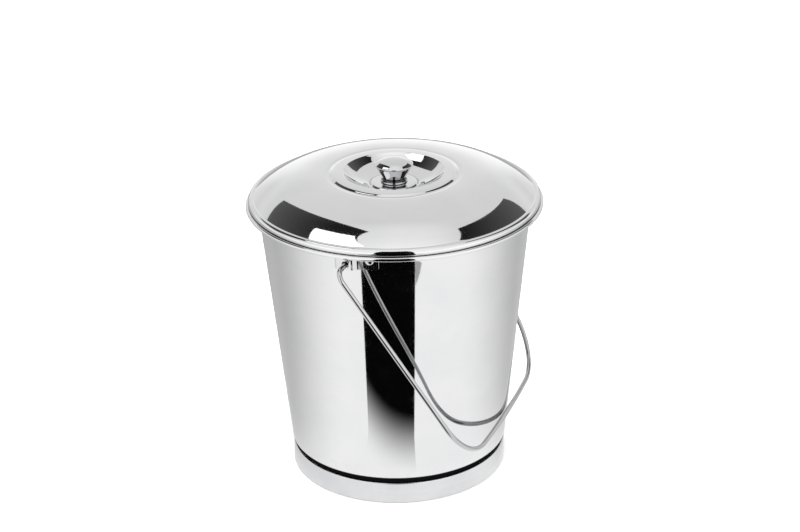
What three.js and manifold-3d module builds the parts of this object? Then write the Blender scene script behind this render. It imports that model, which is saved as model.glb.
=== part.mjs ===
// Stainless kick bucket with a domed lid, a turned knob and a wire bail.
// Millimetres, +Z up. The origin is on the bucket's axis, on the plane that it stands on.
// The ears lie on the X axis, and the bail hangs against the wall on the -Y side.

import * as THREE from 'three';
import { mergeVertices } from 'three/addons/utils/BufferGeometryUtils.js';
import Module from 'manifold-3d';

const wasm = await Module();
wasm.setup();

// ---------------------------------------------------------------- driving dimensions

const SEG = 48; // facets round the large turned pieces
const GAP = 0.35; // clearance between touching pieces

// bucket body
const BODY_T = 1.0; // sheet thickness
const WALL_R_REF = 110.5; // outer wall radius at WALL_Z_REF
const WALL_Z_REF = 27.7;
const WALL_SLOPE = 26.5 / 256.5; // radius gained per mm of height
const BOTTOM_Z = 18.0; // underside of the bottom
const CORNER_R = 12.0; // outer radius of the lower corner
const FLANGE_Z = 283.2; // underside of the rim flange
const BEAD_R = 146.8; // rim bead centre
const BEAD_Z = 284.2;
const BEAD_RHO = 2.2;
const RIM_WIRE_RHO = 0.85;

// foot ring
const FOOT_R = 110.0; // outer radius on the floor
const FOOT_TOP_R = 109.3; // outer radius under the hem
const FOOT_T = 1.2;
const FOOT_LIP = 7.0; // width of the turned-in sole
const HEM_R = 108.5;
const HEM_Z = 20.75;
const HEM_RHO = 1.1;

// lid
const LID_T = 0.9;
const LID_HOLE_R = 2.9;
const SEAT_R = 20.5; // raised flat seat under the knob
const SEAT_Z = 305.5;
const DISH_Z = 303.2; // where the well's curve would meet the axis
const DISH_DEPTH = 12.9; // rise of the well's curve to its lip
const DISH_LIP_R = 50.5;
const DISH_P = 3.4; // flat in the middle, steep near the lip
const CREASE_R = 64.9; // crease between the raised ring and the dome
const DOME_Z = 314.5;
const DOME_END_R = 141.2;
const DOME_END_Z = 292.7;
const DOME_P = 2.7;
const CURL_R = 142.0; // curled edge centre
const CURL_Z = 289.0;
const CURL_RHO = 4.3;

// knob and its fixing
const KNOB_FOOT_R = 13.4;
const KNOB_WAIST_R = 11.2;
const KNOB_TOP_R = 19.4;
const KNOB_LIP_Z = 323.3; // widest point
const KNOB_TOP_Z = 328.9; // top of the crown
const TAP_R = 2.65; // tapped hole in the knob
const TAP_Z = 319.0;
const SCREW_R = 2.25;
const SCREW_HEAD_R = 4.6;

// ears and rivets
const EAR_T = 1.5;
const EAR_Z0 = 268.4;
const EAR_Z1 = 281.5;
const EAR_STANDOFF = 3.53; // the raised tab's offset from the flat wing
const EAR_WING_END = 13.1; // degrees round the wall from the pivot
const PIVOT_Z = 274.0;
const PIVOT_HOLE_R = 3.7;
const RIVET_DEG = 9.4;
const RIVET_Z = 278.5;
const RIVET_R = 1.6;
const RIVET_HEAD_R = 4.2;

// bail
const WIRE_RHO = 2.5;
const BAIL_ELBOW_X = 165.0; // where the pivot arm's line meets the leg's line
const BAIL_ELBOW_R = 9.0;
const BAIL_CORNER_X = 116.5; // where the leg's line meets the grip's line
const BAIL_CORNER_S = 237.1; // its distance from the pivot axis
const BAIL_CORNER_R = 56.5;
const BAIL_BOW = 3.1; // how far the grip bows outward
const BAIL_END_X = 137.0; // inner end of the pivot arm
const BAIL_HEAD_R = 4.4; // upset head that keeps the arm in the ear
const BAIL_HEAD_L = 1.4;
const BAIL_REST_DEG = 29.05; // swing from straight down when it leans on the wall

// ---------------------------------------------------------------- helpers

const RAD = Math.PI / 180;
const TAPER = Math.atan(WALL_SLOPE);
const wallR = (z) => WALL_R_REF + WALL_SLOPE * (z - WALL_Z_REF);

function arc(cx, cy, r, a0, a1, n) {
  const out = [];
  for (let i = 0; i <= n; i++) {
    const a = (a0 + ((a1 - a0) * i) / n) * RAD;
    out.push([cx + r * Math.cos(a), cy + r * Math.sin(a)]);
  }
  return out;
}

// parallel path at distance d to the left of the walking direction
function offset(path, d) {
  const n = path.length;
  const normals = [];
  for (let i = 0; i < n - 1; i++) {
    const dx = path[i + 1][0] - path[i][0];
    const dy = path[i + 1][1] - path[i][1];
    const l = Math.hypot(dx, dy);
    normals.push([-dy / l, dx / l]);
  }
  return path.map((p, i) => {
    const a = normals[Math.max(i - 1, 0)];
    const b = normals[Math.min(i, n - 2)];
    const mx = a[0] + b[0];
    const my = a[1] + b[1];
    const k = (2 * d) / (mx * mx + my * my);
    return [p[0] + mx * k, p[1] + my * k];
  });
}

// weld the vertices, drop collapsed triangles, and turn the faces out
function clean(geometry) {
  let g = geometry.clone();
  g.deleteAttribute('normal');
  g.deleteAttribute('uv');
  g.clearGroups();
  g = mergeVertices(g, 1e-4);
  const src = g.index.array;
  const pos = g.attributes.position;
  const kept = [];
  let volume = 0;
  const a = new THREE.Vector3();
  const b = new THREE.Vector3();
  const c = new THREE.Vector3();
  for (let i = 0; i < src.length; i += 3) {
    const [p, q, r] = [src[i], src[i + 1], src[i + 2]];
    if (p === q || q === r || r === p) continue;
    kept.push(p, q, r);
    a.fromBufferAttribute(pos, p);
    b.fromBufferAttribute(pos, q);
    c.fromBufferAttribute(pos, r);
    volume += a.dot(b.cross(c));
  }
  if (volume < 0) {
    for (let i = 0; i < kept.length; i += 3) {
      [kept[i + 1], kept[i + 2]] = [kept[i + 2], kept[i + 1]];
    }
  }
  g.setIndex(kept);
  g.computeVertexNormals();
  return g;
}

// a turned piece about Z from [radius, height] points
function turned(profile, seg, closed) {
  const pts = profile.map(([r, z]) => new THREE.Vector2(Math.max(r, 0), z));
  if (closed) pts.push(pts[0].clone());
  const g = new THREE.LatheGeometry(pts, seg);
  g.rotateX(Math.PI / 2);
  return clean(g);
}

function toSolid(geometry) {
  const g = clean(geometry);
  return new wasm.Manifold(
    new wasm.Mesh({
      numProp: 3,
      vertProperties: new Float32Array(g.attributes.position.array),
      triVerts: new Uint32Array(g.index.array),
    }),
  );
}

function fromSolid(solid) {
  const m = solid.getMesh();
  const g = new THREE.BufferGeometry();
  const stride = m.numProp;
  const count = m.vertProperties.length / stride;
  const p = new Float32Array(count * 3);
  for (let i = 0; i < count; i++) {
    for (let k = 0; k < 3; k++) p[i * 3 + k] = m.vertProperties[i * stride + k];
  }
  g.setAttribute('position', new THREE.BufferAttribute(p, 3));
  g.setIndex(Array.from(m.triVerts));
  g.computeVertexNormals();
  return g;
}

// geometry built along +Y (as a cylinder or lathe is) laid along a direction at a point
function along(geometry, origin, direction) {
  const q = new THREE.Quaternion().setFromUnitVectors(
    new THREE.Vector3(0, 1, 0),
    direction.clone().normalize(),
  );
  geometry.applyQuaternion(q);
  geometry.translate(origin.x, origin.y, origin.z);
  return geometry;
}

// ---------------------------------------------------------------- bucket body

const rivetAxis = new THREE.Vector3(
  Math.cos(TAPER) * Math.cos(RIVET_DEG * RAD),
  Math.cos(TAPER) * Math.sin(RIVET_DEG * RAD),
  -Math.sin(TAPER),
);
const rivetFaceR = wallR(RIVET_Z) + GAP + EAR_T; // outer face of the ear's wing
const rivetOrigin = new THREE.Vector3(
  rivetFaceR * Math.cos(RIVET_DEG * RAD),
  rivetFaceR * Math.sin(RIVET_DEG * RAD),
  RIVET_Z,
);

function bucketBody() {
  const cornerZ = BOTTOM_Z + CORNER_R;
  const cornerR = wallR(cornerZ) - CORNER_R * Math.hypot(1, WALL_SLOPE);
  const beadStart = 180 + Math.asin((BEAD_Z - FLANGE_Z) / BEAD_RHO) / RAD;
  const outside = [
    [0, BOTTOM_Z],
    ...arc(cornerR, cornerZ, CORNER_R, -90, -TAPER / RAD, 5),
    [wallR(150), 150],
    [wallR(281.0), 281.0],
    [wallR(281.0) + 0.35, 282.0],
    [wallR(281.0) + 1.05, 282.8],
    [wallR(281.0) + 2.1, FLANGE_Z],
    ...arc(BEAD_R, BEAD_Z, BEAD_RHO, beadStart, 500, 8),
  ];
  const inside = offset(outside, BODY_T);
  inside[0][0] = 0;
  const shell = turned([...outside, ...inside.reverse()], SEG, false);
  let solid = toSolid(shell);
  for (const turn of [0, Math.PI]) {
    const drill = along(
      new THREE.CylinderGeometry(RIVET_R + 0.4, RIVET_R + 0.4, 14, 12),
      rivetOrigin,
      rivetAxis,
    );
    drill.rotateZ(turn);
    solid = solid.subtract(toSolid(drill));
  }
  return fromSolid(solid);
}

const rimWire = () => turned(arc(BEAD_R, BEAD_Z, RIM_WIRE_RHO, 0, 288, 4), SEG, true);

// ---------------------------------------------------------------- foot ring

function footRing() {
  const outer = (z) => FOOT_R + ((FOOT_TOP_R - FOOT_R) * z) / 19.6;
  return turned(
    [
      [FOOT_R - FOOT_LIP, 0],
      [FOOT_R - 0.8, 0],
      [FOOT_R, 0.8],
      [outer(19.6), 19.6],
      ...arc(HEM_R, HEM_Z, HEM_RHO, -30, 210, 6),
      [outer(19.6) - FOOT_T, 19.4],
      [outer(2.4) - FOOT_T, 2.4],
      [outer(2.4) - FOOT_T - 1.0, FOOT_T],
      [FOOT_R - FOOT_LIP, FOOT_T],
    ],
    SEG,
    true,
  );
}

// ---------------------------------------------------------------- lid

function lidShell() {
  const dish = (r) => DISH_Z + DISH_DEPTH * Math.pow(r / DISH_LIP_R, DISH_P);
  const dome = (r) =>
    DOME_END_Z +
    (DOME_Z - DOME_END_Z) *
      (1 - Math.pow((r - CREASE_R) / (DOME_END_R - CREASE_R), DOME_P));
  const top = [
    [LID_HOLE_R, SEAT_Z],
    [SEAT_R, SEAT_Z],
    [22.8, 305.25],
    [24.9, 304.45],
    [26.4, 304.35],
    ...[31, 38, 44, DISH_LIP_R].map((r) => [r, dish(r)]),
    [51.4, 316.44],
    [57.5, 316.3],
    [62.4, 315.9],
    [64.2, 314.8],
    [66.2, 314.5],
    ...[80, 95, 108, 119, 128.5, 136].map((r) => [r, dome(r)]),
    ...arc(CURL_R, CURL_Z, CURL_RHO, 107.8, -200, 9),
  ];
  const under = offset(top, -LID_T);
  return turned([...top, ...under.reverse()], SEG, true);
}

function lidKnob() {
  const base = SEAT_Z + GAP;
  return turned(
    [
      [0, TAP_Z + 1.2],
      [TAP_R, TAP_Z],
      [TAP_R, base],
      [KNOB_FOOT_R - 0.5, base],
      [KNOB_FOOT_R, base + 0.5],
      [KNOB_FOOT_R - 0.2, base + 1.25],
      [KNOB_WAIST_R + 0.8, base + 2.1],
      [KNOB_WAIST_R, base + 3.0],
      [KNOB_WAIST_R + 0.3, base + 3.9],
      [KNOB_TOP_R - 0.8, KNOB_LIP_Z - 1.0],
      [KNOB_TOP_R, KNOB_LIP_Z],
      [KNOB_TOP_R - 0.05, KNOB_LIP_Z + 0.7],
      [18.6, 324.35],
      [15, 326.54],
      [10, 328.23],
      [5, 328.82],
      [0, KNOB_TOP_Z],
    ],
    28,
    false,
  );
}

const lidUnder = SEAT_Z - LID_T;
const flatWasherTop = lidUnder - GAP;
const flatWasherT = 1.0;
const lockWasherTop = flatWasherTop - flatWasherT - GAP;
const lockWasherT = 1.2;
const headTop = lockWasherTop - lockWasherT - GAP;

const flatWasher = () =>
  turned(
    [
      [SCREW_R + 0.5, flatWasherTop - flatWasherT],
      [7.0, flatWasherTop - flatWasherT],
      [7.0, flatWasherTop],
      [SCREW_R + 0.5, flatWasherTop],
    ],
    20,
    true,
  );

// spring washer: a ring with one narrow split
function lockWasher() {
  const shape = new THREE.Shape();
  const inner = SCREW_R + 0.5;
  const outer = 4.6;
  shape.absarc(0, 0, outer, 6 * RAD, 354 * RAD, false);
  shape.absarc(0, 0, inner, 354 * RAD, 6 * RAD, true);
  shape.closePath();
  const g = new THREE.ExtrudeGeometry(shape, {
    depth: lockWasherT,
    bevelEnabled: false,
    curveSegments: 10,
  });
  g.translate(0, 0, lockWasherTop - lockWasherT);
  return clean(g);
}

// pan head screw with a slot across its head
function knobScrew() {
  const body = turned(
    [
      [0, headTop - 3.0],
      [2.6, headTop - 2.9],
      [4.0, headTop - 2.2],
      [SCREW_HEAD_R, headTop - 1.0],
      [SCREW_HEAD_R, headTop],
      [SCREW_R, headTop],
      [SCREW_R, TAP_Z - 2.0],
      [SCREW_R - 0.6, TAP_Z - 1.2],
      [0, TAP_Z - 1.2],
    ],
    16,
    false,
  );
  const slot = new THREE.BoxGeometry(12, 1.2, 2.6);
  slot.translate(0, 0, headTop - 3.0);
  return fromSolid(toSolid(body).subtract(toSolid(slot)));
}

// ---------------------------------------------------------------- ears

// one ear at +X: the tab with the pivot hole stands off the wall, the wing beyond the step
// lies on it, and a short lip turns back to the wall at the other end
function ear() {
  const zMid = (EAR_Z0 + EAR_Z1) / 2;
  const height = EAR_Z1 - EAR_Z0;
  const r0 = wallR(zMid);
  const wing = r0 + GAP + EAR_T / 2;
  const tab = wing + EAR_STANDOFF;
  const polar = (r, deg) => [r * Math.cos(deg * RAD), r * Math.sin(deg * RAD)];
  const mid = [
    polar(wing + 0.5, -4.45),
    polar(tab - 1.4, -4.45),
    polar(tab - 0.4, -4.2),
    polar(tab, -3.7),
    polar(tab, -1.2),
    polar(tab, 1.2),
    polar(tab, 2.2),
    polar(tab - 0.35, 2.75),
    polar(wing + 0.4, 4.15),
    polar(wing, 4.75),
    polar(wing, 6.8),
    polar(wing, 8.9),
    polar(wing, 11.0),
    polar(wing, EAR_WING_END),
  ];
  const outline = [...offset(mid, -EAR_T / 2), ...offset(mid, EAR_T / 2).reverse()];
  const strip = new THREE.ExtrudeGeometry(
    new THREE.Shape(outline.map(([x, y]) => new THREE.Vector2(x, y))),
    { depth: height, bevelEnabled: false },
  );
  strip.translate(-r0, 0, -height / 2);
  strip.rotateY(TAPER);
  strip.translate(r0, 0, zMid);

  // rounded outline seen from outside, wider than the strip except at the wing's corners
  const y1 = wing * Math.sin(EAR_WING_END * RAD) - 0.02;
  const y0 = -13;
  const c = 2.4;
  const face = new THREE.Shape();
  face.moveTo(y0, EAR_Z0 + 0.05);
  face.lineTo(y1 - c, EAR_Z0 + 0.05);
  face.absarc(y1 - c, EAR_Z0 + 0.05 + c, c, -Math.PI / 2, 0, false);
  face.lineTo(y1, EAR_Z1 - 0.05 - c);
  face.absarc(y1 - c, EAR_Z1 - 0.05 - c, c, 0, Math.PI / 2, false);
  face.lineTo(y0, EAR_Z1 - 0.05);
  face.closePath();
  const block = new THREE.ExtrudeGeometry(face, {
    depth: 30,
    bevelEnabled: false,
    curveSegments: 5,
  });
  block.applyMatrix4(
    new THREE.Matrix4().makeBasis(
      new THREE.Vector3(0, 1, 0),
      new THREE.Vector3(0, 0, 1),
      new THREE.Vector3(1, 0, 0),
    ),
  );
  block.translate(120, 0, 0);

  const pivot = along(
    new THREE.CylinderGeometry(PIVOT_HOLE_R, PIVOT_HOLE_R, 12, 20),
    new THREE.Vector3(142, 0, PIVOT_Z),
    new THREE.Vector3(1, 0, 0),
  );
  const rivetHole = along(
    new THREE.CylinderGeometry(RIVET_R + 0.4, RIVET_R + 0.4, 14, 12),
    rivetOrigin,
    rivetAxis,
  );
  return fromSolid(
    toSolid(strip)
      .intersect(toSolid(block))
      .subtract(toSolid(pivot))
      .subtract(toSolid(rivetHole)),
  );
}

// domed rivet: head on the wing, tail set inside the bucket
function earRivet() {
  const innerFace = -(rivetFaceR - (wallR(RIVET_Z) - BODY_T) * Math.cos(Math.PI / SEG)) - GAP;
  const profile = [
    [0, innerFace - 1.1],
    [2.2, innerFace - 1.0],
    [3.1, innerFace - 0.5],
    [3.3, innerFace],
    [RIVET_R, innerFace],
    [RIVET_R, GAP],
    [RIVET_HEAD_R, GAP],
    [RIVET_HEAD_R - 0.3, GAP + 0.7],
    [RIVET_HEAD_R - 1.3, GAP + 1.35],
    [RIVET_HEAD_R - 2.7, GAP + 1.75],
    [0, GAP + 1.9],
  ];
  const g = new THREE.LatheGeometry(
    profile.map(([r, h]) => new THREE.Vector2(r, h)),
    16,
  );
  return clean(along(g, rivetOrigin, rivetAxis));
}

// ---------------------------------------------------------------- bail

// wire centre line through listed points, one extrusion step per point
class WirePath extends THREE.Curve {
  constructor(points) {
    super();
    this.points = points;
  }
  getPoint(t, target = new THREE.Vector3()) {
    const f = t * (this.points.length - 1);
    const i = Math.min(Math.floor(f + 1e-9), this.points.length - 2);
    return target.lerpVectors(this.points[i], this.points[i + 1], f - i);
  }
  getPointAt(u, target) {
    return this.getPoint(u, target);
  }
  getSpacedPoints(n) {
    return Array.from({ length: n + 1 }, (_, i) => this.getPoint(i / n));
  }
  getTangent(t, target = new THREE.Vector3()) {
    const last = this.points.length - 1;
    const i = Math.round(t * last);
    const unit = (a, b) => this.points[b].clone().sub(this.points[a]).normalize();
    if (i === 0) return target.copy(unit(0, 1));
    if (i === last) return target.copy(unit(last - 1, last));
    return target.copy(unit(i - 1, i).add(unit(i, i + 1)).normalize());
  }
  getTangentAt(u, target) {
    return this.getTangent(u, target);
  }
}

function fillet(a, b, c, r, n) {
  const la = Math.hypot(a[0] - b[0], a[1] - b[1]);
  const lc = Math.hypot(c[0] - b[0], c[1] - b[1]);
  const u = [(a[0] - b[0]) / la, (a[1] - b[1]) / la];
  const v = [(c[0] - b[0]) / lc, (c[1] - b[1]) / lc];
  const half = Math.acos(u[0] * v[0] + u[1] * v[1]) / 2;
  const t = r / Math.tan(half);
  const bl = Math.hypot(u[0] + v[0], u[1] + v[1]);
  const o = [
    b[0] + ((u[0] + v[0]) / bl) * (r / Math.sin(half)),
    b[1] + ((u[1] + v[1]) / bl) * (r / Math.sin(half)),
  ];
  const a1 = Math.atan2(b[1] + u[1] * t - o[1], b[0] + u[0] * t - o[0]);
  let d = Math.atan2(b[1] + v[1] * t - o[1], b[0] + v[0] * t - o[0]) - a1;
  while (d > Math.PI) d -= 2 * Math.PI;
  while (d < -Math.PI) d += 2 * Math.PI;
  return Array.from({ length: n + 1 }, (_, i) => [
    o[0] + r * Math.cos(a1 + (d * i) / n),
    o[1] + r * Math.sin(a1 + (d * i) / n),
  ]);
}

function bailHandle() {
  const elbow = [BAIL_ELBOW_X, 0];
  const corner = [BAIL_CORNER_X, BAIL_CORNER_S];
  const k = (2 * BAIL_BOW) / BAIL_CORNER_X;
  const bend = fillet([BAIL_END_X, 0], elbow, corner, BAIL_ELBOW_R, 6);
  const round = fillet(elbow, corner, [corner[0] - 60, corner[1] + 60 * k], BAIL_CORNER_R, 10);
  const [gx, gs] = round[round.length - 1];
  const grip = [0.75, 0.5, 0.25, 0].map((f) => {
    const d = gx * (1 - f);
    return [gx * f, gs + k * d * (1 - d / (2 * gx))];
  });
  const half = [[BAIL_END_X, 0], ...bend, ...round, ...grip];
  const whole = [...half, ...half.slice(0, -1).reverse().map(([x, s]) => [-x, s])];
  const swing = BAIL_REST_DEG * RAD;
  const points = whole.map(
    ([x, s]) => new THREE.Vector3(x, -s * Math.sin(swing), PIVOT_Z - s * Math.cos(swing)),
  );
  const section = new THREE.Shape();
  section.absarc(0, 0, WIRE_RHO, 0, 2 * Math.PI, false);
  const wire = new THREE.ExtrudeGeometry(section, {
    steps: points.length - 1,
    curveSegments: 5,
    bevelEnabled: false,
    extrudePath: new WirePath(points),
  });
  let solid = toSolid(wire);
  for (const side of [1, -1]) {
    const head = along(
      new THREE.CylinderGeometry(BAIL_HEAD_R, BAIL_HEAD_R, BAIL_HEAD_L, 14),
      new THREE.Vector3(side * (BAIL_END_X + BAIL_HEAD_L / 2 - 0.1), 0, PIVOT_Z),
      new THREE.Vector3(1, 0, 0),
    );
    solid = solid.add(toSolid(head));
  }
  return fromSolid(solid);
}

// ---------------------------------------------------------------- assembly

const polished = () =>
  new THREE.MeshStandardMaterial({ color: 0xdadbdc, metalness: 1.0, roughness: 0.07 });
const brushed = () =>
  new THREE.MeshStandardMaterial({ color: 0xcfd0d1, metalness: 1.0, roughness: 0.3 });
const plain = () =>
  new THREE.MeshStandardMaterial({ color: 0xb9babb, metalness: 1.0, roughness: 0.4 });

function piece(name, geometry, material) {
  const mesh = new THREE.Mesh(geometry, material);
  mesh.name = name;
  return mesh;
}

const kickBucket = new THREE.Group();

const bucket = new THREE.Group();
bucket.add(piece('bucket_body', bucketBody(), polished()));
bucket.add(piece('rim_wire', rimWire(), plain()));
bucket.add(piece('foot_ring', footRing(), brushed()));
const rightSide = new THREE.Group();
rightSide.add(piece('right_ear', ear(), polished()));
rightSide.add(piece('right_ear_rivet', earRivet(), polished()));
bucket.add(rightSide);
const leftSide = new THREE.Group();
leftSide.rotation.z = Math.PI;
leftSide.add(piece('left_ear', ear(), polished()));
leftSide.add(piece('left_ear_rivet', earRivet(), polished()));
bucket.add(leftSide);
kickBucket.add(bucket);

kickBucket.add(piece('bail_handle', bailHandle(), polished()));

const lid = new THREE.Group();
lid.add(piece('lid_shell', lidShell(), polished()));
lid.add(piece('lid_knob', lidKnob(), polished()));
lid.add(piece('knob_flat_washer', flatWasher(), plain()));
lid.add(piece('knob_lock_washer', lockWasher(), plain()));
lid.add(piece('knob_screw', knobScrew(), plain()));
kickBucket.add(lid);

export default kickBucket;
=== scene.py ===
import math
import bpy
import bmesh
from mathutils import Matrix, Vector


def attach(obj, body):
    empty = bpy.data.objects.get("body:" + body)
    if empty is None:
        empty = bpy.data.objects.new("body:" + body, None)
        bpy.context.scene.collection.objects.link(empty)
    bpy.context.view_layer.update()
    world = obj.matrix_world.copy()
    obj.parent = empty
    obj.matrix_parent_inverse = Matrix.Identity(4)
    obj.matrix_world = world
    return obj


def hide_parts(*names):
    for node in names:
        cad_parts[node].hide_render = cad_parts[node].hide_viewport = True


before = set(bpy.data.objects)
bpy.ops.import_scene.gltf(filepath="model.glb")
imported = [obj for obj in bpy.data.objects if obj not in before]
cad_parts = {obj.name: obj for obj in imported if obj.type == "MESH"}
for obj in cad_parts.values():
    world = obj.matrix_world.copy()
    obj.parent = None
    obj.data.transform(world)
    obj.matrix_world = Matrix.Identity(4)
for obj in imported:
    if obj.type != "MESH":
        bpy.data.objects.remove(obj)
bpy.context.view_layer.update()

MM = 0.001
RAD = math.pi / 180.0
COL = bpy.context.scene.collection


# ------------------------------------------------------------------ profiles (mm)

def arc(cx, cz, r, a0, a1, n):
    out = []
    for i in range(n + 1):
        a = (a0 + (a1 - a0) * i / n) * RAD
        out.append((cx + r * math.cos(a), cz + r * math.sin(a)))
    return out


def line(p, q, n):
    return [(p[0] + (q[0] - p[0]) * i / n, p[1] + (q[1] - p[1]) * i / n) for i in range(n + 1)]


def thin(path, eps=1e-5):
    out = [path[0]]
    for p in path[1:]:
        if math.hypot(p[0] - out[-1][0], p[1] - out[-1][1]) > eps:
            out.append(p)
    return out


def offset(path, d):
    """Path moved d to its left, with mitred corners."""
    n = len(path)
    dirs = []
    for i in range(n - 1):
        dx = path[i + 1][0] - path[i][0]
        dz = path[i + 1][1] - path[i][1]
        h = math.hypot(dx, dz)
        dirs.append((dx / h, dz / h))
    out = []
    for i in range(n):
        a = dirs[max(i - 1, 0)]
        b = dirs[min(i, n - 2)]
        nx, nz = -(a[1] + b[1]), a[0] + b[0]
        h = math.hypot(nx, nz)
        nx, nz = nx / h, nz / h
        c = max(0.4, nx * -b[1] + nz * b[0])
        out.append((path[i][0] + nx * d / c, path[i][1] + nz * d / c))
    return out


def chaikin(path, rounds=3):
    """Corner cutting that keeps both ends."""
    for _ in range(rounds):
        out = [path[0]]
        for p, q in zip(path, path[1:]):
            out.append((0.75 * p[0] + 0.25 * q[0], 0.75 * p[1] + 0.25 * q[1]))
            out.append((0.25 * p[0] + 0.75 * q[0], 0.25 * p[1] + 0.75 * q[1]))
        out.append(path[-1])
        path = out
    return path


def rounded(points, radii, n=6):
    """Polyline with a fillet of the given radius at each inner corner."""
    out = [points[0]]
    for i in range(1, len(points) - 1):
        a, b, c = points[i - 1], points[i], points[i + 1]
        u = Vector((a[0] - b[0], a[1] - b[1]))
        v = Vector((c[0] - b[0], c[1] - b[1]))
        lu, lv = u.length, v.length
        u.normalize()
        v.normalize()
        cosv = max(-1.0, min(1.0, u.dot(v)))
        half = math.acos(cosv) / 2
        r = radii[i]
        if r <= 0 or half > math.pi / 2 - 0.01:
            out.append(b)
            continue
        t = min(r / math.tan(half), 0.48 * lu, 0.48 * lv)
        r = t * math.tan(half)
        m = (u + v).normalized() * (r / math.sin(half))
        cx, cz = b[0] + m.x, b[1] + m.y
        p0 = (b[0] + u.x * t, b[1] + u.y * t)
        p1 = (b[0] + v.x * t, b[1] + v.y * t)
        a0 = math.atan2(p0[1] - cz, p0[0] - cx)
        a1 = math.atan2(p1[1] - cz, p1[0] - cx)
        while a1 - a0 > math.pi:
            a1 -= 2 * math.pi
        while a1 - a0 < -math.pi:
            a1 += 2 * math.pi
        for k in range(n + 1):
            a_ = a0 + (a1 - a0) * k / n
            out.append((cx + r * math.cos(a_), cz + r * math.sin(a_)))
    out.append(points[-1])
    return thin(out)


def wall_r(z):
    return 110.5 + (26.5 / 256.5) * (z - 27.7)


TAPER = math.degrees(math.atan(26.5 / 256.5))


# ------------------------------------------------------------------ meshes

def new_object(name, bm, smooth_angle=35.0):
    bmesh.ops.recalc_face_normals(bm, faces=bm.faces)
    me = bpy.data.meshes.new(name)
    bm.to_mesh(me)
    bm.free()
    for p in me.polygons:
        p.use_smooth = True
    me.set_sharp_from_angle(angle=smooth_angle * RAD)
    ob = bpy.data.objects.new(name, me)
    COL.objects.link(ob)
    return ob


def lathe_bm(path, seg, closed=False):
    """path in mm as (radius, height), turned about Z; points on the axis become one vertex."""
    bm = bmesh.new()
    rings = []
    for r, z in path:
        if r < 1e-6:
            rings.append([bm.verts.new((0.0, 0.0, z * MM))])
        else:
            rings.append([
                bm.verts.new((r * MM * math.cos(2 * math.pi * k / seg), r * MM * math.sin(2 * math.pi * k / seg), z * MM))
                for k in range(seg)
            ])
    pairs = list(zip(rings, rings[1:]))
    if closed:
        pairs.append((rings[-1], rings[0]))
    for a, b in pairs:
        if len(a) == 1 and len(b) == 1:
            continue
        for k in range(seg):
            k2 = (k + 1) % seg
            if len(a) == 1:
                bm.faces.new((a[0], b[k2], b[k]))
            elif len(b) == 1:
                bm.faces.new((a[k], a[k2], b[0]))
            else:
                bm.faces.new((a[k], a[k2], b[k2], b[k]))
    return bm


def lathe(name, path, seg=240, closed=False, smooth_angle=35.0):
    return new_object(name, lathe_bm(thin(path), seg, closed), smooth_angle)


# bucket body: floor, corner, tapered wall, flange and rolled rim in one sheet
ra = wall_r(281.0)
body_path = line((0.0, 18.0), (60.0, 18.0), 3)
body_path += line((60.0, 18.0), (98.67, 18.0), 3)
body_path += arc(98.67, 30.0, 12.0, -90.0, -TAPER, 16)
body_path += line((wall_r(31.0), 31.0), (wall_r(281.0), 281.0), 40)
body_path += [(ra + 0.12, 281.55), (ra + 0.35, 282.0), (ra + 0.65, 282.45), (ra + 1.05, 282.8), (ra + 1.55, 283.08), (ra + 2.1, 283.2)]
body_path += line((ra + 2.1, 283.2), (144.6, 283.2), 3)
body_path += arc(146.8, 284.2, 2.18, 207.0, 500.0, 40)
body_path = thin(body_path, 0.02)
body_in = offset(body_path, 1.0)
body_in[0] = (0.0, 19.0)
body = lathe("body_sheet", body_path + body_in[::-1], 288)

# foot ring: upright band with a hem at the top and a turned-in sole
foot_out = rounded([(103.0, 0.0), (109.6, 0.0), (109.98, 0.6), (109.35, 19.6)], [0, 0.5, 0.5, 0], 5)[:-1]
foot_out += line((109.955, 1.6), (109.35, 19.6), 10)
foot_out += arc(108.5, 20.75, 1.1, -38.0, 210.0, 20)
foot_out = thin(foot_out, 0.02)
foot_in = [(107.55, 20.2), (107.95, 19.2), (108.15, 18.0), (108.75, 2.2), (108.35, 1.35), (107.6, 1.2), (103.0, 1.2)]
foot = lathe("foot_band", foot_out + chaikin(foot_in, 2), 288, closed=True)

# lid: dished well, crease ring, dome and curled edge in one sheet


def dish(r):
    return 303.2 + 12.9 * (r / 50.5) ** 3.4


def dome(r):
    return 292.7 + 21.8 * (1.0 - ((r - 64.9) / (141.2 - 64.9)) ** 2.7)


lid_path = [(2.9, 305.5), (10.0, 305.5)]
lid_path += chaikin([(19.5, 305.5), (21.6, 305.47), (22.9, 305.25), (23.9, 304.6), (24.7, 303.7), (26.2, 303.72), (28.4, 304.6), (31.0, dish(31.0))], 2)
lid_path += [(r, dish(r)) for r in [32 + 1.0 * i for i in range(18)]] + [(50.0, dish(50.0))]
slope = math.degrees(math.atan(3.4 * 12.9 / 50.5))
lid_path += arc(50.5 + 1.4 * math.sin(slope * RAD), 316.1 - 1.4 * math.cos(slope * RAD), 1.4, 90.0 + slope, 90.0, 8)
ring = [(51.42, 316.44), (54.5, 316.36), (57.5, 316.3), (60.4, 316.15), (61.6, 316.02), (62.7, 315.5), (64.7, 314.22), (66.2, 314.3), (69.0, dome(69.0))]
lid_path += chaikin(ring, 2)
lid_path += [(r, dome(r)) for r in [70 + 2.5 * i for i in range(25)] + [131, 132.5, 134, 135.5, 137, 138, 139, 140, 140.6]]
lid_path += arc(142.0, 289.0, 4.3, 107.8, -200.0, 56)
lid_path = thin(lid_path, 0.02)
lid_in = offset(lid_path, -0.9)
lid = lathe("lid_sheet", lid_path + lid_in[::-1], 288, closed=True)

# knob: waisted foot, flared cone, rounded lip and a shallow crowned top
KB = 305.85


def crown_z(r):
    return 328.9 - 4.6 * (r / 18.6) ** 3.1


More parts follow.
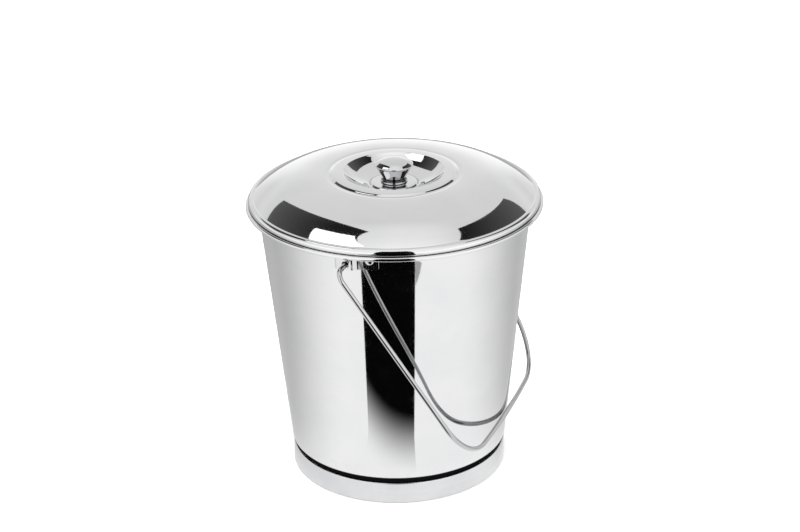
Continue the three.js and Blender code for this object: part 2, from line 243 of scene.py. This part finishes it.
knob_pts = [(2.65, KB), (12.9, KB), (13.4, KB + 0.5), (13.2, KB + 1.25), (12.0, KB + 2.1), (11.2, KB + 3.0), (11.5, KB + 3.9), (18.6, 322.3), (19.4, 323.3), (19.33, 323.95), (18.6, 324.35), (17.4, crown_z(17.4))]
knob_rad = [0, 0.3, 0.4, 0.5, 1.2, 0.8, 0.7, 1.0, 0.6, 0.5, 0.5, 0]
crown = [(r, crown_z(r)) for r in (17.4, 16.5, 15.5, 14.5, 13, 11.5, 10, 8.5, 7, 5.5, 4, 2.5, 1.2)] + [(0.0, 328.9)]
knob_path = [(0.0, 319.0), (2.65, 319.0), (2.65, 307.5)] + rounded(knob_pts, knob_rad, 7)[:-1] + crown
knob = lathe("knob_turned", knob_path, 192)

# bail: one wire, bent in a plane, with an upset head inside each ear
BAIL_A = 29.05 * RAD
CORNER = (116.5, 237.1)
ELBOW = (165.0, 0.0)
def bail_centre_line():
    k = 2 * 3.1 / 116.5
    corner = rounded([(137.0, 0.0), ELBOW, CORNER, (CORNER[0] - 110.0, CORNER[1] + 110.0 * k)], [0, 9.0, 56.5, 0], 28)[:-1]
    gx, gs = corner[-1]
    half = []
    for p, q in zip(corner, corner[1:]):
        h = math.hypot(q[0] - p[0], q[1] - p[1])
        m = max(1, int(h / 8.0))
        half += [(p[0] + (q[0] - p[0]) * i / m, p[1] + (q[1] - p[1]) * i / m) for i in range(m)]
    half.append(corner[-1])
    n = 24
    for i in range(1, n + 1):
        d = gx * i / n
        half.append((gx - d, gs + k * d * (1 - d / (2 * gx))))
    return half + [(-x, s) for x, s in half[:-1]][::-1]


WIRE_R = 2.43
line2 = bail_centre_line()


def bail_object():
    plane_n = Vector((0.0, -math.cos(BAIL_A), math.sin(BAIL_A)))
    pts = [Vector((x, -s * math.sin(BAIL_A), 274.0 - s * math.cos(BAIL_A))) for x, s in line2]
    # head at each inner end, then the wire
    steps = []
    for back, rad in ((0.0, 3.7), (0.15, 4.2), (0.4, 4.38), (1.0, 4.38), (1.22, 4.2), (1.35, 3.4), (1.42, WIRE_R)):
        steps.append((back, rad))
    first, last = pts[0], pts[-1]
    d0 = (pts[1] - pts[0]).normalized()
    d1 = (pts[-2] - pts[-1]).normalized()
    chain = [(first + d0 * b, r, d0) for b, r in steps]
    n = len(pts)
    for i in range(1, n - 1):
        t = (pts[i + 1] - pts[i - 1]).normalized()
        if (pts[i] - first).length < 1.6 or (pts[i] - last).length < 1.6:
            continue
        chain.append((pts[i], WIRE_R, t))
    chain += [(last + d1 * b, r, -d1) for b, r in steps[::-1]]
    bm = bmesh.new()
    sides = 28
    rings = []
    for p, r, t in chain:
        b = t.cross(plane_n).normalized()
        rings.append([bm.verts.new((p + (plane_n * math.cos(2 * math.pi * k / sides) + b * math.sin(2 * math.pi * k / sides)) * r) * MM) for k in range(sides)])
    for a, b in zip(rings, rings[1:]):
        for k in range(sides):
            k2 = (k + 1) % sides
            bm.faces.new((a[k], a[k2], b[k2], b[k]))
    for ringv in (rings[0], rings[-1]):
        c = Vector((0, 0, 0))
        for v in ringv:
            c += v.co
        cv = bm.verts.new(c / sides)
        for k in range(sides):
            bm.faces.new((ringv[k], ringv[(k + 1) % sides], cv))
    return new_object("bail_wire", bm, 50.0)


bail = bail_object()


# rivets: low domed heads on the ear wings, shank, and a flat set tail inside the wall
def rivet_object(name, side):
    deg = 9.4 * RAD
    z = 278.5
    face_r = wall_r(z) + 0.35 + 1.5
    t = TAPER * RAD
    axis = Vector((math.cos(t) * math.cos(deg), math.cos(t) * math.sin(deg), -math.sin(t)))
    origin = Vector((face_r * math.cos(deg), face_r * math.sin(deg), z))
    if side < 0:
        axis = Vector((-axis.x, -axis.y, axis.z))
        origin = Vector((-origin.x, -origin.y, origin.z))
    inner = -(face_r - (wall_r(z) - 1.0) * math.cos(math.pi / 48)) - 0.35
    prof = [(0.0, inner - 0.95), (2.6, inner - 0.95), (3.1, inner - 0.7), (3.15, inner - 0.2), (3.05, inner), (1.58, inner), (1.58, 0.35), (4.05, 0.35)]
    prof += chaikin([(4.05, 0.35), (4.18, 0.42), (4.16, 0.62), (3.9, 1.02), (3.1, 1.62), (1.8, 2.05), (0.9, 2.2), (0.0, 2.22)], 2)
    bm = lathe_bm(thin(prof, 0.01), 48)
    rot = Vector((0, 0, 1)).rotation_difference(axis).to_matrix().to_4x4()
    bm.transform(Matrix.Translation(origin * MM) @ rot)
    return new_object(name + "_domed", bm, 40.0)


rivet_r = rivet_object("right_ear_rivet", 1)
rivet_l = rivet_object("left_ear_rivet", -1)


# ------------------------------------------------------------------ materials

class Nodes:
    """Small helper to write node trees in order."""

    def __init__(self, mat):
        mat.use_nodes = True
        self.t = mat.node_tree
        self.t.nodes.clear()

    def add(self, kind, **props):
        n = self.t.nodes.new(kind)
        for k, v in props.items():
            setattr(n, k, v)
        return n

    def link(self, a, b):
        self.t.links.new(a, b)

    def math(self, op, a, b=None, c=None):
        n = self.add("ShaderNodeMath", operation=op)
        for i, v in enumerate((a, b, c)):
            if v is None:
                continue
            if isinstance(v, (int, float)):
                n.inputs[i].default_value = v
            else:
                self.link(v, n.inputs[i])
        return n.outputs[0]

    def combine(self, x, y, z):
        n = self.add("ShaderNodeCombineXYZ")
        for i, v in enumerate((x, y, z)):
            if isinstance(v, (int, float)):
                n.inputs[i].default_value = v
            else:
                self.link(v, n.inputs[i])
        return n.outputs[0]

    def noise(self, vec, scale, detail=2.0, rough=0.5):
        n = self.add("ShaderNodeTexNoise")
        self.link(vec, n.inputs["Vector"])
        n.inputs["Scale"].default_value = scale
        n.inputs["Detail"].default_value = detail
        n.inputs["Roughness"].default_value = rough
        return n.outputs["Fac"]

    def ramp(self, fac, lo, hi, out_lo=0.0, out_hi=1.0, smooth=True):
        n = self.add("ShaderNodeMapRange")
        n.interpolation_type = "SMOOTHSTEP" if smooth else "LINEAR"
        self.link(fac, n.inputs["Value"])
        n.inputs["From Min"].default_value = lo
        n.inputs["From Max"].default_value = hi
        n.inputs["To Min"].default_value = out_lo
        n.inputs["To Max"].default_value = out_hi
        return n.outputs["Result"]

    def mix(self, fac, a, b):
        n = self.add("ShaderNodeMix", data_type="RGBA")
        if isinstance(fac, (int, float)):
            n.inputs["Factor"].default_value = fac
        else:
            self.link(fac, n.inputs["Factor"])
        for i, v in ((6, a), (7, b)):
            if isinstance(v, tuple):
                n.inputs[i].default_value = v
            else:
                self.link(v, n.inputs[i])
        return n.outputs[2]

    def bump(self, height, strength, distance, normal=None):
        n = self.add("ShaderNodeBump")
        n.inputs["Strength"].default_value = strength
        n.inputs["Distance"].default_value = distance
        self.link(height, n.inputs["Height"])
        if normal is not None:
            self.link(normal, n.inputs["Normal"])
        return n.outputs["Normal"]


def steel(name, tint, dull, rough, rough_span, spun, line_scale, line_bump, wave_bump, smudge=0.06, wear=None, wear_gain=0.18, seam_shade=None, painted_waist_shade=None, metal=1.0):
    """Stainless steel. spun: 'wall' lines run round a wall, 'face' lines run round a turned face, 'wire' lines run
    along a wire.
    wear: ('z' or 'r', from mm, to mm), where handling has scuffed it.
    seam_shade: (centre r, centre z, inner distance, from z, to z), painted shade: the outer face of a corner, below a
    fade from from-z to to-z, is painted near-black, rougher and non-metallic, standing in for the shade in the groove
    above the foot ring.
    painted_waist_shade: (from z, to z), painted shade: the knob's neck between these heights is painted near-black,
    mottled, standing in for the shade in that recess."""
    m = bpy.data.materials.new(name)
    n = Nodes(m)
    co = n.add("ShaderNodeTexCoord").outputs["Object"]
    sep = n.add("ShaderNodeSeparateXYZ")
    n.link(co, sep.inputs[0])
    x, y, z = sep.outputs
    r = n.math("SQRT", n.math("ADD", n.math("MULTIPLY", x, x), n.math("MULTIPLY", y, y)))
    if spun == "face":
        lines_co = n.combine(n.math("MULTIPLY", r, line_scale), n.math("MULTIPLY", x, 9.0), n.math("MULTIPLY", y, 9.0))
    elif spun == "wall":
        lines_co = n.combine(n.math("MULTIPLY", x, 9.0), n.math("MULTIPLY", y, 9.0), n.math("MULTIPLY", z, line_scale))
    elif spun == "both":
        slope = n.math("ADD", n.math("MULTIPLY", r, line_scale), n.math("MULTIPLY", z, line_scale))
        lines_co = n.combine(slope, n.math("MULTIPLY", x, 9.0), n.math("MULTIPLY", y, 9.0))
    else:
        lines_co = n.combine(n.math("MULTIPLY", x, line_scale * 0.15), n.math("MULTIPLY", y, line_scale), n.math("MULTIPLY", z, line_scale * 0.15))
    lines = n.noise(lines_co, 1.0, 3.0, 0.6)
    fine = n.noise(co, 900.0, 2.0, 0.5)
    cloud = n.noise(co, 16.0, 3.0, 0.55)
    marks = n.noise(co, 42.0, 4.0, 0.65)
    smear = n.ramp(marks, 0.52, 0.72)
    # colour: faint cloudiness and duller steel in the smears
    tone = n.mix(n.ramp(cloud, 0.35, 0.7), (tint[0], tint[1], tint[2], 1.0), (dull[0], dull[1], dull[2], 1.0))
    tone = n.mix(n.math("MULTIPLY", n.ramp(lines, 0.3, 0.75), 0.25), tone, (dull[0] * 0.96, dull[1] * 0.96, dull[2] * 0.96, 1.0))
    # roughness: base, the lines, and smears left by wiping
    ro = n.math("ADD", rough, n.math("MULTIPLY", n.ramp(lines, 0.3, 0.8), rough_span))
    ro = n.math("ADD", ro, n.math("MULTIPLY", smear, smudge))
    if wear is not None:
        which, lo, hi = wear
        src = z if which == "z" else r
        zone = n.ramp(src, lo * MM, hi * MM)
        scuff = n.math("MULTIPLY", zone, n.ramp(n.noise(co, 120.0, 5.0, 0.7), 0.45, 0.75))
        ro = n.math("ADD", ro, n.math("MULTIPLY", scuff, wear_gain))
        tone = n.mix(n.math("MULTIPLY", scuff, 0.2), tone, (dull[0] * 0.8, dull[1] * 0.8, dull[2] * 0.8, 1.0))
    # painted shade: the neck between the two heights is darkened nearly to black, mottled by the cloud noise
    if painted_waist_shade is not None:
        lo, hi = painted_waist_shade
        neck = n.math("MULTIPLY", n.ramp(z, (lo - 0.3) * MM, (lo + 0.3) * MM), n.ramp(z, (hi + 1.2) * MM, (hi - 0.4) * MM))
        neck = n.math("MULTIPLY", neck, n.ramp(cloud, 0.2, 0.5, 0.7, 0.92))
        tone = n.mix(neck, tone, (0.02, 0.02, 0.021, 1.0))
    # painted shade: the outer corner above the foot ring turns near-black, rougher and non-metallic
    if seam_shade is not None:
        cr, cz, gap, z_from, z_to = seam_shade
        dr = n.math("SUBTRACT", r, cr * MM)
        dz = n.math("SUBTRACT", z, cz * MM)
        far = n.math("SQRT", n.math("ADD", n.math("MULTIPLY", dr, dr), n.math("MULTIPLY", dz, dz)))
        outside = n.ramp(far, (gap - 0.1) * MM, (gap + 0.1) * MM)
        uneven = n.math("ADD", z, n.math("MULTIPLY", n.math("SUBTRACT", cloud, 0.5), 0.0006))
        painted_seam_shade = n.math("MULTIPLY", outside, n.ramp(uneven, z_from * MM, z_to * MM))
        tone = n.mix(painted_seam_shade, tone, (0.004, 0.004, 0.0045, 1.0))
        ro = n.math("ADD", ro, n.math("MULTIPLY", painted_seam_shade, 0.25))
    bsdf = n.add("ShaderNodeBsdfPrincipled")
    out = n.add("ShaderNodeOutputMaterial")
    bsdf.inputs["Metallic"].default_value = metal
    bsdf.inputs["Specular IOR Level"].default_value = 0.0
    # painted shade: the darkened corner is also made non-metallic
    if seam_shade is not None:
        n.link(n.math("SUBTRACT", 1.0, painted_seam_shade), bsdf.inputs["Metallic"])
    n.link(tone, bsdf.inputs["Base Color"])
    n.link(ro, bsdf.inputs["Roughness"])
    nor = n.bump(lines, line_bump, 0.00002)
    nor = n.bump(cloud, wave_bump, 0.0004, nor)
    nor = n.bump(fine, line_bump * 0.3, 0.00001, nor)
    n.link(nor, bsdf.inputs["Normal"])
    n.link(bsdf.outputs[0], out.inputs[0])
    return m


BRIGHT = (0.605, 0.605, 0.61)
DULLER = (0.575, 0.577, 0.583)
# the last tuple paints near-black shade into the wall's lower corner, just above the foot ring
mat_body = steel("steel_polished", BRIGHT, DULLER, 0.030, 0.035, "wall", 1500.0, 0.05, 0.05, 0.03, ("z", 60.0, 34.0), 0.06, (98.67, 30.0, 11.5, 29.3, 28.2))
mat_lid = steel("steel_spun_lid", BRIGHT, DULLER, 0.030, 0.03, "both", 1300.0, 0.05, 0.05, 0.03, ("r", 138.0, 144.0), 0.06)
# the last tuple paints near-black shade into the knob's waisted neck
mat_knob = steel("steel_turned_knob", (0.57, 0.57, 0.575), (0.53, 0.532, 0.538), 0.035, 0.05, "both", 2600.0, 0.08, 0.02, 0.04, ("z", 325.0, 329.0), 0.08, None, (KB + 1.7, KB + 4.4))
mat_wire = steel("steel_drawn_wire", (0.45, 0.45, 0.455), (0.39, 0.393, 0.40), 0.035, 0.03, "wire", 2600.0, 0.05, 0.02, 0.03, ("z", 110.0, 70.0), 0.08)
mat_foot = steel("steel_brushed_band", (0.545, 0.547, 0.552), (0.475, 0.478, 0.485), 0.16, 0.14, "wall", 2400.0, 0.35, 0.03, 0.06, ("z", 3.0, 0.0), 0.2)
mat_ear = steel("steel_pressed_ear", (0.56, 0.56, 0.565), (0.49, 0.492, 0.498), 0.06, 0.06, "wall", 1800.0, 0.12, 0.05, 0.06, ("z", 272.0, 268.0), 0.15)
mat_plain = steel("steel_machined", (0.50, 0.50, 0.505), (0.42, 0.422, 0.427), 0.24, 0.16, "both", 3200.0, 0.4, 0.03, 0.08)
mat_inside = steel("steel_satin_inside", (0.66, 0.662, 0.668), (0.58, 0.582, 0.59), 0.24, 0.10, "wall", 1500.0, 0.10, 0.04, 0.06, metal=0.7)


def paint(ob, mat):
    ob.data.materials.clear()
    ob.data.materials.append(mat)


for ob, mat, body_name, nodes, slot in (
    (body, mat_body, "bucket", ("bucket_body",), "polished_steel"),
    (foot, mat_foot, "bucket", ("foot_ring",), "brushed_steel"),
    (lid, mat_lid, "lid", ("lid_shell",), "lid_steel"),
    (knob, mat_knob, "lid", ("lid_knob",), "lid_steel"),
    (bail, mat_wire, "bail", ("bail_handle",), "wire_steel"),
    (rivet_r, mat_ear, "bucket", ("right_ear_rivet",), "polished_steel"),
    (rivet_l, mat_ear, "bucket", ("left_ear_rivet",), "polished_steel"),
):
    paint(ob, mat)
    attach(ob, body_name)
    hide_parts(*nodes)

# satin inside: the faces of the wall and bottom that look inwards, and the underside of the lid
body.data.materials.append(mat_inside)
lid.data.materials.append(mat_inside)
for p in body.data.polygons:
    c, nv = p.center, p.normal
    reach = math.hypot(c.x, c.y)
    inward = -(c.x * nv.x + c.y * nv.y) / max(reach, 1e-9)
    if c.z < 0.2808 and (inward > 0.05 or (nv.z > 0.3 and c.z < 0.032)):
        p.material_index = 1
for p in lid.data.polygons:
    if p.normal.z < -0.15 and math.hypot(p.center.x, p.center.y) < 0.137:
        p.material_index = 1

for node in ("left_ear", "right_ear"):
    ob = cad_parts[node]
    ob.data.materials.clear()
    ob.data.materials.append(mat_ear)
    bev = ob.modifiers.new("eased_edges", "BEVEL")
    bev.width = 0.00045
    bev.segments = 3
    bev.limit_method = "ANGLE"
    bev.angle_limit = 50 * RAD

for node in ("rim_wire", "knob_flat_washer", "knob_lock_washer", "knob_screw"):
    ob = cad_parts[node]
    ob.data.materials.clear()
    ob.data.materials.append(mat_plain)


# ------------------------------------------------------------------ floor, cards and light

TURN = -70.3 * RAD  # the picture's right-hand direction, as a turn about Z from +X
CT, ST = math.cos(TURN), math.sin(TURN)


def turned(v):
    return Vector((v[0] * CT - v[1] * ST, v[0] * ST + v[1] * CT, v[2]))


def plain(name, colour, rough):
    m = bpy.data.materials.new(name)
    n = Nodes(m)
    co = n.add("ShaderNodeTexCoord").outputs["Object"]
    tone = n.mix(n.noise(co, 3.0, 2.0, 0.5), colour, tuple(c * 0.985 for c in colour[:3]) + (1.0,))
    b = n.add("ShaderNodeBsdfPrincipled")
    n.link(tone, b.inputs["Base Color"])
    b.inputs["Roughness"].default_value = rough
    b.inputs["Specular IOR Level"].default_value = 0.0
    o = n.add("ShaderNodeOutputMaterial")
    n.link(b.outputs[0], o.inputs[0])
    return m


GAIN = 1.333


def glow(name, low, high):
    """Card whose brightness runs smoothly from low (at 25 degrees up) to high (at 62 degrees up)."""
    m = bpy.data.materials.new(name)
    n = Nodes(m)
    co = n.add("ShaderNodeTexCoord").outputs["Object"]
    unit = n.add("ShaderNodeVectorMath", operation="NORMALIZE")
    n.link(co, unit.inputs[0])
    sep = n.add("ShaderNodeSeparateXYZ")
    n.link(unit.outputs["Vector"], sep.inputs[0])
    e = n.add("ShaderNodeEmission")
    n.link(n.ramp(sep.outputs[2], math.sin(25 * RAD), math.sin(62 * RAD), low * GAIN, high * GAIN, False), e.inputs["Strength"])
    o = n.add("ShaderNodeOutputMaterial")
    n.link(e.outputs[0], o.inputs[0])
    return m


def only_in_reflections(ob):
    ob.visible_camera = False
    ob.visible_diffuse = False
    ob.visible_shadow = False
    ob.visible_transmission = False
    ob.visible_volume_scatter = False


def patch(name, corners, radius, mat, n=10):
    """Card bent to a sphere round the object; corners in degrees (round from the front, above the horizon)."""
    bm = bmesh.new()
    grid = []
    (a0, e0), (a1, e1), (a2, e2), (a3, e3) = corners
    for j in range(n + 1):
        row = []
        v = j / n
        for i in range(n + 1):
            u = i / n
            a = ((a0 * (1 - u) + a1 * u) * (1 - v) + (a3 * (1 - u) + a2 * u) * v) * RAD
            e = ((e0 * (1 - u) + e1 * u) * (1 - v) + (e3 * (1 - u) + e2 * u) * v) * RAD
            d = turned((math.sin(a) * math.cos(e), -math.cos(a) * math.cos(e), math.sin(e)))
            row.append(bm.verts.new(d * radius + Vector((0, 0, 0.30))))
        grid.append(row)
    for j in range(n):
        for i in range(n):
            bm.faces.new((grid[j][i], grid[j][i + 1], grid[j + 1][i + 1], grid[j + 1][i]))
    ob = new_object(name, bm)
    ob.data.materials.append(mat)
    only_in_reflections(ob)
    return ob


def flat_card(name, outline, z, mat):
    bm = bmesh.new()
    vs = [bm.verts.new(turned((x * MM, y * MM, z * MM))) for x, y in outline]
    bm.faces.new(vs)
    ob = new_object(name, bm)
    ob.data.materials.append(mat)
    only_in_reflections(ob)
    return ob


floor_bm = bmesh.new()
F = 6.0
vs = [floor_bm.verts.new(p) for p in ((-F, -F, -0.0004), (F, -F, -0.0004), (F, F, -0.0004), (-F, F, -0.0004))]
floor_bm.faces.new(vs)
floor = new_object("pale_floor", floor_bm)
floor.data.materials.append(plain("floor_pale", (0.93, 0.93, 0.93, 1.0), 0.9))

front_dir = turned((0.0, -1.0, 0.0))
right_dir = turned((1.0, 0.0, 0.0))
FAR = 24.0

dark = glow("card_dark", 0.004, 0.008)
grey = glow("card_grey", 0.125, 0.014)
white = glow("card_white", 1.5, 1.6)

patch("card_front", ((-15.9, -2), (14, -2), (14, 64), (-15.9, 64)), FAR, dark)
patch("card_left", ((-153, 30), (-108, 25), (-80, 75), (-147, 74)), FAR, grey)
patch("card_left_window", ((-127.5, 55.5), (-98, 52), (-70, 76), (-119, 73)), FAR * 0.96, white)
patch("card_right", ((152, 32), (122, 17), (96, 63), (126, 63)), FAR, grey)

# dark ground in front, with a soft near edge
m_soft = bpy.data.materials.new("card_ground")
nn = Nodes(m_soft)
co = nn.add("ShaderNodeTexCoord").outputs["Object"]
dotn = nn.add("ShaderNodeVectorMath", operation="DOT_PRODUCT")
nn.link(co, dotn.inputs[0])
dotn.inputs[1].default_value = front_dir + right_dir * 0.25
fade = nn.ramp(dotn.outputs["Value"], 0.146, 0.254)
em = nn.add("ShaderNodeEmission")
em.inputs["Strength"].default_value = 0.002
tr = nn.add("ShaderNodeBsdfTransparent")
mx = nn.add("ShaderNodeMixShader")
nn.link(fade, mx.inputs[0])
nn.link(tr.outputs[0], mx.inputs[1])
nn.link(em.outputs[0], mx.inputs[2])
mo = nn.add("ShaderNodeOutputMaterial")
nn.link(mx.outputs[0], mo.inputs[0])
flat_card("card_floor_front", [(-69, -130), (27, -130), (42, -203), (129, -489), (165, -660), (520, -2100), (5900, -23900), (-5800, -23900), (-560, -2100), (-215, -660), (-229, -456), (-84, -194)], 0.2, m_soft)

flat_card("card_floor_side", [(122, -458), (136, -462), (160, -474), (182, -492), (190, -512), (192, -570), (150, -570), (134, -510)], 0.15, glow("card_side", 0.42, 0.42))

# the ground as the steel sees it: bright in front, falling off to the sides and back
m_ground = bpy.data.materials.new("card_ground_all")
gn = Nodes(m_ground)
gco = gn.add("ShaderNodeTexCoord").outputs["Object"]
dots = []
for vec in (front_dir, right_dir):
    d_ = gn.add("ShaderNodeVectorMath", operation="DOT_PRODUCT")
    gn.link(gco, d_.inputs[0])
    d_.inputs[1].default_value = vec
    dots.append(d_.outputs["Value"])
ang = gn.math("ARCTAN2", dots[1], dots[0])
ang = gn.math("ABSOLUTE", gn.math("SUBTRACT", ang, 5.0 * RAD))
level = gn.ramp(ang, 45.0 * RAD, 125.0 * RAD, 1.06 * GAIN, 0.52 * GAIN)
level = gn.math("SUBTRACT", level, gn.ramp(ang, 125.0 * RAD, 165.0 * RAD, 0.0, 0.13 * GAIN))
gem = gn.add("ShaderNodeEmission")
gn.link(level, gem.inputs["Strength"])
go = gn.add("ShaderNodeOutputMaterial")
gn.link(gem.outputs[0], go.inputs[0])
flat_card("card_ground", [(-5900, -5900), (5900, -5900), (5900, 5900), (-5900, 5900)], 0.1, m_ground)

world = bpy.data.worlds.new("white_tent")
bpy.context.scene.world = world
world.use_nodes = True
wn = Nodes(world)
wco = wn.add("ShaderNodeTexCoord").outputs["Generated"]
wsep = wn.add("ShaderNodeSeparateXYZ")
wn.link(wco, wsep.inputs[0])
up = wsep.outputs[2]
wdot = wn.add("ShaderNodeVectorMath", operation="DOT_PRODUCT")
wn.link(wco, wdot.inputs[0])
wdot.inputs[1].default_value = front_dir
side = wdot.outputs["Value"]
low = wn.ramp(up, 0.14, 0.46, 1.03 * GAIN, 0.785 * GAIN)
high = wn.ramp(up, 0.86, 1.0, 0.0, 0.17 * GAIN)
frontal = wn.ramp(side, -0.15, 0.5, 0.0, 0.28 * GAIN)
across = wn.add("ShaderNodeVectorMath", operation="DOT_PRODUCT")
wn.link(wco, across.inputs[0])
across.inputs[1].default_value = right_dir
corners = wn.math("MULTIPLY", wn.ramp(wn.math("ABSOLUTE", across.outputs["Value"]), 0.14, 0.38, 0.0, 0.25 * GAIN), wn.ramp(side, -0.55, -0.80))
corners = wn.math("MULTIPLY", corners, wn.ramp(up, 0.38, 0.20))
strength = wn.math("SUBTRACT", wn.math("ADD", wn.math("ADD", low, high), frontal), corners)
bg = wn.add("ShaderNodeBackground")
bg.inputs["Color"].default_value = (1.0, 1.0, 1.0, 1.0)
wn.link(strength, bg.inputs["Strength"])
wo = wn.add("ShaderNodeOutputWorld")
wn.link(bg.outputs[0], wo.inputs[0])

lamp = bpy.data.lights.new("top_softbox", "AREA")
lamp.shape = "DISK"
lamp.size = 2.2
lamp.energy = 60.0
top = bpy.data.objects.new("top_softbox", lamp)
COL.objects.link(top)
top.location = (0.0, 0.0, 2.4)
top.visible_glossy = False
top.visible_camera = False


# ------------------------------------------------------------------ camera

FOCAL_PX = 2249.8
PITCH = 0.42066
ROLL = -0.018292
DIST = 2281.3
fwd = Vector((0.0, math.cos(PITCH), -math.sin(PITCH)))
right = Vector((1.0, 0.0, 0.0))
upv = Vector((0.0, math.sin(PITCH), math.cos(PITCH)))
place = (Vector((4.309, 0.0, 212.134)) - fwd * DIST) * MM
r2 = right * math.cos(ROLL) + upv * math.sin(ROLL)
u2 = upv * math.cos(ROLL) - right * math.sin(ROLL)
r2, u2, f2, place = turned(r2), turned(u2), turned(fwd), turned(place)
cam_data = bpy.data.cameras.new("camera")
cam_data.sensor_fit = "HORIZONTAL"
cam_data.sensor_width = 36.0
cam_data.lens = FOCAL_PX / 800.0 * 36.0
cam_data.clip_start = 0.05
cam_data.clip_end = 50.0
cam = bpy.data.objects.new("camera", cam_data)
COL.objects.link(cam)
cam.matrix_world = Matrix((
    (r2.x, u2.x, -f2.x, place.x),
    (r2.y, u2.y, -f2.y, place.y),
    (r2.z, u2.z, -f2.z, place.z),
    (0.0, 0.0, 0.0, 1.0),
))
bpy.context.scene.camera = cam
bpy.context.scene.view_settings.view_transform = "Standard"
bpy.context.scene.view_settings.look = "None"
